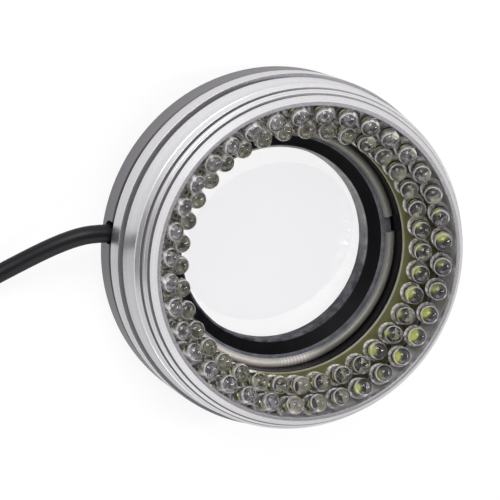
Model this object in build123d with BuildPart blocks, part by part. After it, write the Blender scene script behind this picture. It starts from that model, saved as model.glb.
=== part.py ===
"""LED ring light for a stereo microscope, lying on its rear collar with the lamps facing up.

The frame: millimetres, +Z up along the light's axis, the origin on that axis at the bottom of
the rear collar. The supply cord leaves along -X and lies on the surface that the light stands on.
"""
import os
from math import atan, atan2, cos, degrees, dist, hypot, pi, radians, sin, sqrt, tan

from build123d import *

os.makedirs("parts", exist_ok=True)

# Fits and shared clearances
overrun = 1.0
slip_gap = 0.05
running_gap = 0.08
thread_gap = 0.04

# Bore and the rows of lamps, from which the other radii follow
bore_radius = 33.2
inner_row_inset = 1.2
row_spacing = 4.1
lamp_side_gap = 0.554
housing_wall = 4.1

# Rear collar and its adapter
collar_reach = 8.0
collar_wall = 2.62
aperture_inset = 6.6
aperture_depth = 4.0
cone_top_inset = 3.0
cone_rise = 2.9
flange_overhang = 3.38
flange_thickness = 1.2
flange_gap = 0.1
adapter_edge_chamfer = 0.3

# Window glass and the threaded ring behind it
window_seat_width = 2.0
window_thickness = 1.8
window_face_inset = 1.95
window_bevel_width = 1.85
window_bevel_drop = 0.45
retainer_overlap = 0.6
retainer_width = 1.3
retainer_thickness = 1.2
retainer_slot_width = 1.4
retainer_slot_depth = 0.5

# Back cover
cover_height = 9.3
cover_wall = 4.0
cover_floor = 2.5
cover_edge_chamfer = 0.4
seam_height = 0.35
seam_depth = 0.6
hole_floor = 0.5

# Housing: how far the outline lies in, and how far it lies below the front or above the back cover
band_end_inset = 0.1
band_width = 6.1
groove_1_width = 1.6
waist_start_inset = 1.0
waist_bow = 0.22
waist_end_inset = 1.68
waist_end_drop = 7.55
shoulder_start_inset = 1.77
shoulder_start_drop = 7.05
shoulder_end_inset = 2.5
shoulder_end_drop = 5.45
ridge_start_inset = 2.9
ridge_start_drop = 4.4
ridge_middle_inset = 3.25
ridge_middle_drop = 3.6
ridge_end_inset = 3.65
ridge_end_drop = 2.75
lip_start_inset = 4.15
lip_start_drop = 1.85
lip_front_inset = 5.75
front_rise = 2.35
lip_inner_inset = 6.65
lip_land = 1.6
lip_inner_chamfer = 0.18
cavity_cone_drop = 7.05
groove_1_depth = 0.9
groove_2_depth = 0.9
groove_3_depth = 0.55
line_depth = 0.3
ridge_line_depth = 0.15
ridge_line_width = 0.24

# Bore sleeve
sleeve_wall = 1.7
sleeve_foot_width = 1.4
sleeve_foot_thickness = 1.2
sleeve_lug_overhang = 2.3
sleeve_lug_radius = 2.6
sleeve_lug_angle = 30.0
sleeve_lug_count = 3
ring_groove_depth = 0.35
ring_groove_height = 2.45

# Retaining ring
ring_wire_diameter = 2.6
ring_seat_gap = 0.1
ring_gap_width = 4.4
ring_gap_angle = 7.9

# Lamp board
sleeve_rim_height = 4.525
board_thickness = 1.2
board_bore_gap = 0.2
board_edge_gap = 0.5
pad_hole_radius = 0.45

# Lamps, 5 mm clear type
lamp_count = 36
lens_radius = 2.5
lens_flange_radius = 2.9
lens_flange_height = 1.0
lens_flat_depth = 0.3
lens_body_height = 6.2
lead_width = 0.5
lead_pitch = 2.54
lead_stub = 0.8
lead_bend_radius = 1.0
lead_tip = 1.0
post_height = 1.7
anvil_thickness = 0.6
anvil_near = 1.6
anvil_far = 0.6
anvil_height = 1.0
cup_radius = 0.85
cup_height = 0.9
phosphor_rim_radius = 0.55
phosphor_foot_radius = 0.35
phosphor_depth = 0.5
anode_height = 3.8
lamp_rise = 10.2
inner_lean = 14.0
inner_phase = 7.17
row_step = 4.2
outer_lean = 20.0
outer_phase = 2.14

# Small parts on and under the board
spacer_radius = 1.75
spacer_offset = 5.1
spacer_angle = 42.15
spacer_count = 4
spacer_stud_length = 1.8
spacer_thread_depth = 5.0
solder_foot_radius = 0.85
solder_tip_radius = 0.45
solder_height = 0.8
resistor_length = 3.2
resistor_width = 1.6
resistor_height = 0.6
resistor_offset = 5.3
resistors_between_spacers = 6

# Screws with a 2 mm thread, and the 3 mm grub screws of the collar
screw_radius = 1.0
screw_head_radius = 1.8
pan_head_height = 1.2
pan_head_fillet = 0.45
recess_width = 0.5
recess_length = 2.0
recess_depth = 0.6
cover_screw_inset = 2.5
cover_screw_angle = 45.0
cover_screw_count = 4
cover_screw_length = 5.2
cover_thread_depth = 4.5
countersink_height = 0.8
countersink_recess = 0.15
board_screw_length = 5.0
sleeve_screw_length = 3.0
clamp_screw_length = 2.8
grub_radius = 1.5
grub_length = 2.4
grub_recess = 0.1
grub_height = 2.5
grub_count = 3
grub_angle = 90.0
grub_socket_flats = 1.5
grub_socket_depth = 1.2

# Supply cord, its clamp and its two wires inside the cover
cord_diameter = 4.9
notch_clearance = 0.6
notch_sink = 0.15
clamp_inset = 4.9
clamp_width = 3.6
clamp_thickness = 1.0
clamp_foot = 3.8
wire_diameter = 1.3
wire_spread = 1.6
wire_bend_radius = 1.9
wire_corner_offset = 3.0
wire_pad_offset = 5.3
wire_pad_radius = 1.2
red_pad_angle = 177.15
black_pad_angle = 190.0
red_corner_drop = 4.5
black_corner_drop = 5.0
wire_joint_height = 1.25

# Route of the cord from the clamp to the coil
cord_route = (
    (-39.3, -0.15, 13.15),
    (-49.2, -0.15, 13.15),
    (-58.5, -3.24, 11.36),
    (-73.0, -13.99, 5.47),
    (-88.8, -25.2, 3.15),
    (-103.9, -35.0, 3.15),
)

# Coil of the put-away cord and its ties
coil_gap = 0.6
turns_in = 3.0
turns_out = 2.9
coil_middle_radius = 27.5
tie_thickness = 0.6
tie_width = 4.0
tie_gap = 0.3
tie_lift = 0.1
tie_corner_radius = 1.6
tie_angles = (75.0, 345.0)
tie_head_length = 4.6
tie_head_depth = 3.2
tie_head_height = 5.0

# Tail of the cord beyond the coil: length, heading change and drop of each run
tail_runs = (
    (8.0, 0.0, 0.0),
    (12.0, -16.0, -1.3),
    (12.0, -17.0, -2.35),
    (9.0, -17.0, 0.0),
)

# Power plug
plug_radius = 5.0
plug_grip_length = 15.0
plug_relief_length = 17.0
plug_relief_radius = 3.5
plug_rib_count = 6
plug_rib_width = 1.1
plug_rib_depth = 0.45
plug_nose_length = 1.2
plug_nose_radius = 4.2
barrel_radius = 2.75
barrel_wall = 0.35
barrel_length = 9.5
barrel_root = 3.0
barrel_root_radius = 2.3
barrel_root_wall = 0.3
barrel_web = 0.5
contact_outer_radius = 1.25
contact_inner_radius = 1.05
contact_recess = 0.4

# Heights above the back cover's rear face that stack up from the adapter
ring_centre_height = aperture_depth + cone_rise + slip_gap + ring_wire_diameter / 2
board_height = ring_centre_height + ring_groove_height / 2 + sleeve_rim_height
inner_dome_height = board_height + board_thickness + lamp_rise
outer_dome_height = inner_dome_height + row_step
front_height = outer_dome_height + front_rise
band_end_height = cover_height + band_width
waist_start_height = band_end_height + groove_1_width
waist_end_height = front_height - waist_end_drop
shoulder_start_height = front_height - shoulder_start_drop
shoulder_end_height = front_height - shoulder_end_drop
ridge_start_height = front_height - ridge_start_drop
ridge_middle_height = front_height - ridge_middle_drop
ridge_end_height = front_height - ridge_end_drop
lip_start_height = front_height - lip_start_drop
cavity_cone_start_height = front_height - cavity_cone_drop
red_corner_height = board_height - red_corner_drop
black_corner_height = board_height - black_corner_drop

# Radii that follow from the bore and the rows of lamps
inner_dome_radius = bore_radius + inner_row_inset
outer_dome_radius = inner_dome_radius + row_spacing
outer_seat_reach = outer_dome_radius + lens_body_height * sin(radians(outer_lean))
cavity_radius = outer_seat_reach + lens_flange_radius * cos(radians(outer_lean)) + lamp_side_gap
cover_radius = cavity_radius + housing_wall
band_end_radius = cover_radius - band_end_inset
waist_start_radius = cover_radius - waist_start_inset
waist_end_radius = cover_radius - waist_end_inset
shoulder_start_radius = cover_radius - shoulder_start_inset
shoulder_end_radius = cover_radius - shoulder_end_inset
ridge_start_radius = cover_radius - ridge_start_inset
ridge_middle_radius = cover_radius - ridge_middle_inset
ridge_end_radius = cover_radius - ridge_end_inset
lip_start_radius = cover_radius - lip_start_inset
lip_front_radius = cover_radius - lip_front_inset
lip_inner_radius = cover_radius - lip_inner_inset
cover_screw_reach = cover_radius - cover_screw_inset
clamp_back_reach = cover_radius - clamp_inset
board_inner_radius = bore_radius + board_bore_gap
board_outer_radius = cavity_radius - board_edge_gap
spacer_reach = bore_radius + spacer_offset
resistor_reach = bore_radius + resistor_offset
wire_corner_reach = bore_radius + wire_corner_offset
wire_pad_reach = bore_radius + wire_pad_offset
sleeve_outer_radius = bore_radius + sleeve_wall
sleeve_foot_radius = sleeve_outer_radius + sleeve_foot_width
sleeve_lug_reach = sleeve_outer_radius + sleeve_lug_overhang
ring_centre_radius = bore_radius + ring_groove_depth - ring_seat_gap - ring_wire_diameter / 2
adapter_radius = bore_radius - running_gap
socket_radius = adapter_radius - collar_wall
aperture_radius = bore_radius - aperture_inset
cone_top_radius = bore_radius - cone_top_inset
flange_radius = adapter_radius + flange_overhang
window_radius = aperture_radius + window_seat_width
window_face_radius = aperture_radius - window_face_inset
retainer_outer_radius = window_radius + retainer_overlap
retainer_inner_radius = retainer_outer_radius - retainer_width

# Heights that stack up from the surface, and radii that follow from others
cover_back = collar_reach
cover_front = cover_back + cover_height
floor_top = cover_back + cover_floor
board_bottom = cover_back + board_height
board_top = board_bottom + board_thickness
window_top = cover_back
window_bottom = window_top - window_thickness
window_rim_top = window_top - window_bevel_drop
socket_depth = window_bottom - retainer_thickness
cone_foot_z = window_top + aperture_depth
adapter_top = cone_foot_z + cone_rise
flange_top = cover_back - flange_gap
flange_bottom = flange_top - flange_thickness
lug_top = floor_top + sleeve_foot_thickness
ring_centre_z = cover_back + ring_centre_height
cord_radius = cord_diameter / 2
wire_radius = wire_diameter / 2
cord_exit_z = cord_route[0][2]
cord_exit_y = cord_route[0][1]
screw_hole_radius = screw_radius + slip_gap
screw_thread_radius = screw_radius + thread_gap
clamp_screw_x = clamp_width / 2 - clamp_back_reach
clamp_screw_offset = cord_radius + clamp_thickness + clamp_foot / 2
clamp_screw_places = [(clamp_screw_x, cord_exit_y + side * clamp_screw_offset) for side in (-1, 1)]


def radial_plane(angle, reach, height):
    """Plane at a place around the axis, facing outwards."""
    outward = (cos(radians(angle)), sin(radians(angle)), 0)
    place = (reach * outward[0], reach * outward[1], height)
    return Plane(origin=place, x_dir=(-outward[1], outward[0], 0), z_dir=outward)


def section_plane(angle):
    """Plane through the axis whose first direction points outwards and whose second points up."""
    outward = (cos(radians(angle)), sin(radians(angle)), 0)
    return Plane(origin=(0, 0, 0), x_dir=outward, z_dir=(outward[1], -outward[0], 0))


def tube_along(path, radius):
    """Solid round tube along a smooth path."""
    with BuildPart() as tube:
        with BuildSketch(Plane(origin=path @ 0, z_dir=path % 0)):
            Circle(radius)
        sweep(path=path)
    return tube.part


def corner_radii(points, share=0.45):
    """Largest even radius at each inner corner of a route."""
    radii = []
    for before, corner, after in zip(points, points[1:], points[2:]):
        run_in = Vector(*corner) - Vector(*before)
        run_out = Vector(*after) - Vector(*corner)
        half_turn = radians(run_in.get_angle(run_out)) / 2
        radii.append(share * min(run_in.length, run_out.length) / tan(half_turn))
    return radii


def pan_screw(length):
    """Pan-head screw standing on its shank's far end, the head's underside at the origin."""
    with BuildPart() as screw:
        with BuildSketch():
            Circle(screw_head_radius)
        extrude(amount=pan_head_height)
        fillet(screw.edges().group_by(Axis.Z)[-1], radius=pan_head_fillet)
        with BuildSketch(Plane.XY.offset(pan_head_height)):
            Rectangle(recess_length, recess_width)
            Rectangle(recess_width, recess_length)
        extrude(amount=-recess_depth, mode=Mode.SUBTRACT)
        with BuildSketch():
            Circle(screw_radius)
        extrude(amount=-length)
    return screw.part


# Back cover: a shallow cup with a notch for the cord
notch_radius = cord_radius + notch_clearance
notch_centre_z = floor_top + notch_radius - notch_sink
cover_inner_radius = cover_radius - cover_wall
cover_hole_radius = sleeve_outer_radius + slip_gap
with BuildPart() as back_cover:
    with BuildSketch(Plane.XZ):
        with BuildLine():
            Polyline(
                (cover_hole_radius, cover_back),
                (cover_radius - cover_edge_chamfer, cover_back),
                (cover_radius, cover_back + cover_edge_chamfer),
                (cover_radius, cover_front - seam_height),
                (cover_radius - seam_depth, cover_front - seam_height),
                (cover_radius - seam_depth, cover_front),
                (cover_inner_radius, cover_front),
                (cover_inner_radius, floor_top),
                (cover_hole_radius, floor_top),
                close=True,
            )
        make_face()
    revolve(axis=Axis.Z)
    with BuildSketch(radial_plane(180, cover_inner_radius - overrun, 0)):
        with Locations((0, notch_centre_z)):
            Circle(notch_radius)
        with Locations((0, (notch_centre_z + cover_front + overrun) / 2)):
            Rectangle(2 * notch_radius, cover_front + overrun - notch_centre_z)
    extrude(amount=cover_wall + 2 * overrun, mode=Mode.SUBTRACT)
    with BuildSketch(Plane.XY.offset(cover_back)):
        with PolarLocations(cover_screw_reach, cover_screw_count, start_angle=cover_screw_angle):
            Circle(screw_hole_radius)
    extrude(amount=cover_height, mode=Mode.SUBTRACT)
    sink_mouth_radius = screw_head_radius + slip_gap + countersink_recess
    sink_depth = countersink_height + countersink_recess
    with PolarLocations(cover_screw_reach, cover_screw_count, start_angle=cover_screw_angle):
        with Locations((0, 0, cover_back + sink_depth / 2)):
            Cone(sink_mouth_radius, screw_hole_radius, sink_depth, mode=Mode.SUBTRACT)
    with BuildSketch(Plane.XY.offset(floor_top)):
        with PolarLocations(sleeve_lug_reach, sleeve_lug_count, start_angle=sleeve_lug_angle):
            Circle(screw_thread_radius)
        with PolarLocations(spacer_reach, spacer_count, start_angle=spacer_angle):
            Circle(screw_thread_radius)
        with Locations(*clamp_screw_places):
            Circle(screw_thread_radius)
    extrude(amount=hole_floor - cover_floor, mode=Mode.SUBTRACT)
back_cover.part.label = "back_cover"
export_step(back_cover.part, "parts/back_cover.step")

# Countersunk screws through the cover's wall into the housing
cover_screw_foot = cover_back + countersink_recess
with BuildPart() as cover_screw:
    with BuildSketch(Plane.XY.offset(cover_screw_foot)):
        Circle(screw_radius)
    extrude(amount=cover_screw_length + cover_floor + cover_floor + countersink_height)
    with Locations((0, 0, cover_screw_foot + countersink_height / 2)):
        Cone(screw_head_radius, screw_radius, countersink_height)
    with BuildSketch(Plane.XY.offset(cover_screw_foot)):
        Rectangle(recess_length, recess_width)
        Rectangle(recess_width, recess_length)
    extrude(amount=recess_depth, mode=Mode.SUBTRACT)
with BuildPart() as cover_screws:
    with PolarLocations(cover_screw_reach, cover_screw_count, start_angle=cover_screw_angle):
        add(cover_screw.part)
cover_screws.part.label = "cover_screws"
export_step(cover_screws.part, "parts/cover_screws.step")

# Housing: bands, grooves and the concave waist outside, the lamp cavity inside
with BuildPart() as housing:
    with BuildSketch(Plane.XZ):
        with BuildLine():
            groove_1_floor = waist_start_radius - groove_1_depth
            groove_2_floor = ridge_start_radius - groove_2_depth
            groove_3_floor = lip_start_radius - groove_3_depth
            front_z = cover_back + front_height
            outer_lower = Polyline(
                (cavity_radius, cover_front),
                (cover_radius, cover_front),
                (band_end_radius, cover_back + band_end_height),
                (groove_1_floor, cover_back + band_end_height),
                (groove_1_floor, cover_back + waist_start_height),
                (waist_start_radius, cover_back + waist_start_height),
            )
            ThreePointArc(
                (waist_start_radius, cover_back + waist_start_height),
                (
                    (waist_start_radius + waist_end_radius) / 2 - waist_bow,
                    cover_back + (waist_start_height + waist_end_height) / 2,
                ),
                (waist_end_radius, cover_back + waist_end_height),
            )
            Polyline(
                (waist_end_radius, cover_back + waist_end_height),
                (
                    waist_end_radius - line_depth,
                    cover_back + (waist_end_height + shoulder_start_height) / 2,
                ),
                (shoulder_start_radius, cover_back + shoulder_start_height),
                (shoulder_end_radius, cover_back + shoulder_end_height),
                (groove_2_floor, cover_back + shoulder_end_height),
                (groove_2_floor, cover_back + ridge_start_height),
                (ridge_start_radius, cover_back + ridge_start_height),
                (ridge_middle_radius, cover_back + ridge_middle_height - ridge_line_width / 2),
                (ridge_middle_radius - ridge_line_depth, cover_back + ridge_middle_height),
                (ridge_middle_radius, cover_back + ridge_middle_height + ridge_line_width / 2),
                (ridge_end_radius, cover_back + ridge_end_height),
                (groove_3_floor, cover_back + ridge_end_height),
                (groove_3_floor, cover_back + lip_start_height),
                (lip_start_radius, cover_back + lip_start_height),
                (lip_front_radius, front_z),
                (lip_inner_radius + lip_inner_chamfer, front_z),
                (lip_inner_radius, front_z - lip_inner_chamfer),
                (lip_inner_radius, front_z - lip_land),
                (cavity_radius, cover_back + cavity_cone_start_height),
                (cavity_radius, cover_front),
            )
        make_face()
    revolve(axis=Axis.Z)
    with BuildSketch(Plane.XY.offset(cover_front)):
        with PolarLocations(cover_screw_reach, cover_screw_count, start_angle=cover_screw_angle):
            Circle(screw_thread_radius)
    extrude(amount=cover_thread_depth, mode=Mode.SUBTRACT)
housing.part.label = "housing"
export_step(housing.part, "parts/housing.step")

# Bore sleeve with its foot, its lugs and the groove for the retaining ring
ring_groove_bottom = ring_centre_z - ring_groove_height / 2
ring_groove_top = ring_centre_z + ring_groove_height / 2
with BuildPart() as bore_sleeve:
    with BuildSketch(Plane.XZ):
        with BuildLine():
            Polyline(
                (bore_radius, cover_back),
                (sleeve_outer_radius, cover_back),
                (sleeve_outer_radius, floor_top),
                (sleeve_foot_radius, floor_top),
                (sleeve_foot_radius, lug_top),
                (sleeve_outer_radius, lug_top),
                (sleeve_outer_radius, board_bottom),
                (bore_radius, board_bottom),
                (bore_radius, ring_groove_top),
                (bore_radius + ring_groove_depth, ring_groove_top),
                (bore_radius + ring_groove_depth, ring_groove_bottom),
                (bore_radius, ring_groove_bottom),
                close=True,
            )
        make_face()
    revolve(axis=Axis.Z)
    with BuildSketch(Plane.XY.offset(floor_top)):
        with PolarLocations(sleeve_lug_reach, sleeve_lug_count, start_angle=sleeve_lug_angle):
            Circle(sleeve_lug_radius)
    extrude(amount=sleeve_foot_thickness)
    with BuildSketch(Plane.XY.offset(floor_top)):
        with PolarLocations(sleeve_lug_reach, sleeve_lug_count, start_angle=sleeve_lug_angle):
            Circle(screw_hole_radius)
    extrude(amount=sleeve_foot_thickness, mode=Mode.SUBTRACT)
bore_sleeve.part.label = "bore_sleeve"
export_step(bore_sleeve.part, "parts/bore_sleeve.step")

with BuildPart() as sleeve_screws:
    with PolarLocations(sleeve_lug_reach, sleeve_lug_count, start_angle=sleeve_lug_angle):
        with Locations((0, 0, lug_top)):
            add(pan_screw(sleeve_screw_length))
sleeve_screws.part.label = "sleeve_screws"
export_step(sleeve_screws.part, "parts/sleeve_screws.step")

# Adapter: rear collar, flange behind the cover, glass seat and the dark cone in front of it
pocket_radius = window_radius + slip_gap
with BuildPart() as lens_adapter:
    with BuildSketch(Plane.XZ):
        with BuildLine():
            Polyline(
                (socket_radius + adapter_edge_chamfer, 0),
                (adapter_radius - adapter_edge_chamfer, 0),
                (adapter_radius, adapter_edge_chamfer),
                (adapter_radius, flange_bottom),
                (flange_radius - adapter_edge_chamfer, flange_bottom),
                (flange_radius, flange_bottom + adapter_edge_chamfer),
                (flange_radius, flange_top),
                (adapter_radius, flange_top),
                (adapter_radius, adapter_top),
                (cone_top_radius, adapter_top),
                (aperture_radius, cone_foot_z),
                (aperture_radius, window_rim_top),
                (pocket_radius, window_rim_top),
                (pocket_radius, window_bottom),
                (retainer_outer_radius + thread_gap, window_bottom),
                (retainer_outer_radius + thread_gap, socket_depth),
                (socket_radius, socket_depth),
                (socket_radius, adapter_edge_chamfer),
                close=True,
            )
        make_face()
    revolve(axis=Axis.Z)
    for grub_index in range(grub_count):
        angle = grub_angle + grub_index * 360 / grub_count
        with BuildSketch(radial_plane(angle, aperture_radius, grub_height)):
            Circle(grub_radius + thread_gap)
        extrude(amount=flange_radius - aperture_radius, mode=Mode.SUBTRACT)
lens_adapter.part.label = "lens_adapter"
export_step(lens_adapter.part, "parts/lens_adapter.step")

with BuildPart() as collar_screws:
    grub_face = adapter_radius - grub_recess
    for grub_index in range(grub_count):
        angle = grub_angle + grub_index * 360 / grub_count
        with BuildSketch(radial_plane(angle, grub_face, grub_height)):
            Circle(grub_radius)
        extrude(amount=-grub_length)
        with BuildSketch(radial_plane(angle, grub_face, grub_height)):
            RegularPolygon(grub_socket_flats / 2, 6, major_radius=False)
        extrude(amount=-grub_socket_depth, mode=Mode.SUBTRACT)
collar_screws.part.label = "collar_screws"
export_step(collar_screws.part, "parts/collar_screws.step")

# Window glass with its wide shallow bevel
with BuildPart() as window_glass:
    with BuildSketch(Plane.XZ):
        with BuildLine():
            Polyline(
                (0, window_bottom),
                (window_radius, window_bottom),
                (window_radius, window_rim_top),
                (window_face_radius + window_bevel_width, window_rim_top),
                (window_face_radius, window_top),
                (0, window_top),
                close=True,
            )
        make_face()
    revolve(axis=Axis.Z)
window_glass.part.label = "window_glass"
export_step(window_glass.part, "parts/window_glass.step")

with BuildPart() as glass_retainer:
    with BuildSketch(Plane.XY.offset(socket_depth)):
        Circle(retainer_outer_radius)
        Circle(retainer_inner_radius, mode=Mode.SUBTRACT)
    extrude(amount=retainer_thickness)
    with BuildSketch(Plane.XY.offset(socket_depth)):
        Rectangle(2 * socket_radius, retainer_slot_width)
    extrude(amount=retainer_slot_depth, mode=Mode.SUBTRACT)
glass_retainer.part.label = "glass_retainer"
export_step(glass_retainer.part, "parts/glass_retainer.step")

# Retaining ring: an open ring of round wire lying in the sleeve's groove
ring_gap_turn = degrees(ring_gap_width / ring_centre_radius)
with BuildPart() as retaining_ring:
    with BuildSketch(section_plane(ring_gap_angle + ring_gap_turn / 2)):
        with Locations((ring_centre_radius, ring_centre_z)):
            Circle(ring_wire_diameter / 2)
    revolve(axis=Axis.Z, revolution_arc=360 - ring_gap_turn)
retaining_ring.part.label = "retaining_ring"
export_step(retaining_ring.part, "parts/retaining_ring.step")


# Lamps: the middle of each flange's underside follows from the middle of its dome
def lamp_seat(dome_radius, dome_height, lean):
    """Reach and height of the middle of a lamp's underside."""
    lean_sine = sin(radians(lean))
    lean_cosine = cos(radians(lean))
    reach = dome_radius + lens_body_height * lean_sine
    height = cover_back + dome_height - lens_body_height * lean_cosine
    return reach, height


def lamp_plane(seat, lean):
    """Plane of a lamp's underside, its first direction outwards."""
    lean_sine = sin(radians(lean))
    lean_cosine = cos(radians(lean))
    return Plane(
        origin=(seat[0], 0, seat[1]),
        x_dir=(lean_cosine, 0, lean_sine),
        z_dir=(-lean_sine, 0, lean_cosine),
    )


def lead_reach(seat, lean):
    """Distance from the axis at which a lamp's leads go through the board."""
    return seat[0] + lead_stub * sin(radians(lean))


def lead_pair(seat, lean):
    """One lamp's two leads, the nearer one carrying the reflector cup."""
    plane = lamp_plane(seat, lean)
    reach = lead_reach(seat, lean)
    tip_z = board_bottom - lead_tip
    knee_z = seat[1] - lead_stub * cos(radians(lean))
    with BuildPart() as leads:
        for side, top in ((-1, anode_height), (1, post_height + overrun / 2)):
            offset_y = side * lead_pitch / 2
            top_place = plane.from_local_coords((0, offset_y, top))
            with BuildLine() as lead_path:
                FilletPolyline(
                    (reach, offset_y, tip_z),
                    (reach, offset_y, knee_z),
                    (top_place.X, top_place.Y, top_place.Z),
                    radius=lead_bend_radius,
                )
            with BuildSketch(Plane(origin=(reach, offset_y, tip_z))):
                Rectangle(lead_width, lead_width)
            sweep(path=lead_path.wire())
        with BuildSketch(plane.offset(post_height)):
            with Locations((0, (anvil_near - anvil_far) / 2)):
                Rectangle(anvil_thickness, anvil_near + anvil_far)
        extrude(amount=anvil_height)
        with BuildSketch(plane.offset(post_height + anvil_height)):
            Circle(cup_radius)
        extrude(amount=cup_height)
        add(phosphor_fill(seat, lean), mode=Mode.SUBTRACT)
    return leads.part


def phosphor_fill(seat, lean):
    """The fill of one lamp's reflector cup."""
    plane = lamp_plane(seat, lean)
    rim = post_height + anvil_height + cup_height
    with BuildPart() as fill:
        with BuildSketch(plane.offset(rim - phosphor_depth)):
            Circle(phosphor_foot_radius)
        with BuildSketch(plane.offset(rim)):
            Circle(phosphor_rim_radius)
        loft()
    return fill.part


def lamp_lens(seat, lean):
    """One lamp's clear body, moulded round its leads and its fill."""
    plane = lamp_plane(seat, lean)
    with BuildPart() as lens:
        with BuildSketch(plane):
            Circle(lens_flange_radius)
            with Locations((0, lens_flange_radius)):
                Rectangle(2 * lens_flange_radius, 2 * lens_flat_depth, mode=Mode.SUBTRACT)
        extrude(amount=lens_flange_height)
        with BuildSketch(plane):
            Circle(lens_radius)
        extrude(amount=lens_body_height)
        dome_middle = plane.from_local_coords((0, 0, lens_body_height))
        with Locations((dome_middle.X, dome_middle.Y, dome_middle.Z)):
            Sphere(lens_radius)
        add(lead_pair(seat, lean), mode=Mode.SUBTRACT)
        add(phosphor_fill(seat, lean), mode=Mode.SUBTRACT)
    return lens.part


inner_seat = lamp_seat(inner_dome_radius, inner_dome_height, inner_lean)
outer_seat = lamp_seat(outer_dome_radius, outer_dome_height, outer_lean)
inner_lead_reach = lead_reach(inner_seat, inner_lean)
outer_lead_reach = lead_reach(outer_seat, outer_lean)

inner_lens = lamp_lens(inner_seat, inner_lean)
with BuildPart() as inner_lamps:
    with PolarLocations(0, lamp_count, start_angle=inner_phase):
        add(inner_lens)
inner_lamps.part.label = "inner_lamps"
export_step(inner_lamps.part, "parts/inner_lamps.step")

outer_lens = lamp_lens(outer_seat, outer_lean)
with BuildPart() as outer_lamps:
    with PolarLocations(0, lamp_count, start_angle=outer_phase):
        add(outer_lens)
outer_lamps.part.label = "outer_lamps"
export_step(outer_lamps.part, "parts/outer_lamps.step")

inner_leads = lead_pair(inner_seat, inner_lean)
with BuildPart() as inner_lead_frames:
    with PolarLocations(0, lamp_count, start_angle=inner_phase):
        add(inner_leads)
inner_lead_frames.part.label = "inner_lead_frames"
export_step(inner_lead_frames.part, "parts/inner_lead_frames.step")

outer_leads = lead_pair(outer_seat, outer_lean)
with BuildPart() as outer_lead_frames:
    with PolarLocations(0, lamp_count, start_angle=outer_phase):
        add(outer_leads)
outer_lead_frames.part.label = "outer_lead_frames"
export_step(outer_lead_frames.part, "parts/outer_lead_frames.step")

inner_fill = phosphor_fill(inner_seat, inner_lean)
with BuildPart() as inner_phosphors:
    with PolarLocations(0, lamp_count, start_angle=inner_phase):
        add(inner_fill)
inner_phosphors.part.label = "inner_phosphors"
export_step(inner_phosphors.part, "parts/inner_phosphors.step")

outer_fill = phosphor_fill(outer_seat, outer_lean)
with BuildPart() as outer_phosphors:
    with PolarLocations(0, lamp_count, start_angle=outer_phase):
        add(outer_fill)
outer_phosphors.part.label = "outer_phosphors"
export_step(outer_phosphors.part, "parts/outer_phosphors.step")

# Lamp board on the sleeve and the four spacers
lead_places = ((0, -lead_pitch / 2), (0, lead_pitch / 2))
with BuildPart() as led_board:
    with BuildSketch(Plane.XY.offset(board_bottom)):
        Circle(board_outer_radius)
        Circle(board_inner_radius, mode=Mode.SUBTRACT)
        with PolarLocations(inner_lead_reach, lamp_count, start_angle=inner_phase):
            with Locations(*lead_places):
                Circle(pad_hole_radius, mode=Mode.SUBTRACT)
        with PolarLocations(outer_lead_reach, lamp_count, start_angle=outer_phase):
            with Locations(*lead_places):
                Circle(pad_hole_radius, mode=Mode.SUBTRACT)
        with PolarLocations(spacer_reach, spacer_count, start_angle=spacer_angle):
            Circle(screw_hole_radius, mode=Mode.SUBTRACT)
    extrude(amount=board_thickness)
led_board.part.label = "led_board"
export_step(led_board.part, "parts/led_board.step")

with BuildPart() as board_spacers:
    with BuildSketch(Plane.XY.offset(floor_top)):
        with PolarLocations(spacer_reach, spacer_count, start_angle=spacer_angle):
            Circle(spacer_radius)
    extrude(amount=board_bottom - floor_top)
    with BuildSketch(Plane.XY.offset(floor_top)):
        with PolarLocations(spacer_reach, spacer_count, start_angle=spacer_angle):
            Circle(screw_radius)
    extrude(amount=-spacer_stud_length)
    with BuildSketch(Plane.XY.offset(board_bottom)):
        with PolarLocations(spacer_reach, spacer_count, start_angle=spacer_angle):
            Circle(screw_thread_radius)
    extrude(amount=-spacer_thread_depth, mode=Mode.SUBTRACT)
board_spacers.part.label = "board_spacers"
export_step(board_spacers.part, "parts/board_spacers.step")

with BuildPart() as board_screws:
    with PolarLocations(spacer_reach, spacer_count, start_angle=spacer_angle):
        with Locations((0, 0, board_top)):
            add(pan_screw(board_screw_length))
board_screws.part.label = "board_screws"
export_step(board_screws.part, "parts/board_screws.step")

# Solder round every lead, and under the two supply wires
with BuildPart() as solder_cone:
    with Locations((0, 0, board_bottom - solder_height / 2)):
        Cone(solder_tip_radius, solder_foot_radius, solder_height)
        Box(lead_width, lead_width, 2 * solder_height, mode=Mode.SUBTRACT)
with BuildPart() as solder_joints:
    with PolarLocations(inner_lead_reach, lamp_count, start_angle=inner_phase):
        with Locations(*lead_places):
            add(solder_cone.part)
    with PolarLocations(outer_lead_reach, lamp_count, start_angle=outer_phase):
        with Locations(*lead_places):
            add(solder_cone.part)
    for pad_angle in (red_pad_angle, black_pad_angle):
        with PolarLocations(wire_pad_reach, 1, start_angle=pad_angle):
            with Locations((0, 0, board_bottom - wire_joint_height / 2)):
                Cone(wire_radius, wire_pad_radius, wire_joint_height)
solder_joints.part.label = "solder_joints"
export_step(solder_joints.part, "parts/solder_joints.step")

with BuildPart() as resistors:
    resistor_step = 360 / spacer_count / (resistors_between_spacers + 1)
    for resistor_index in range(resistors_between_spacers):
        angle = spacer_angle + (resistor_index + 1) * resistor_step
        with PolarLocations(resistor_reach, spacer_count, start_angle=angle):
            with Locations((0, 0, board_bottom - resistor_height / 2)):
                Box(resistor_width, resistor_length, resistor_height)
resistors.part.label = "resistors"
export_step(resistors.part, "parts/resistors.step")

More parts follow.
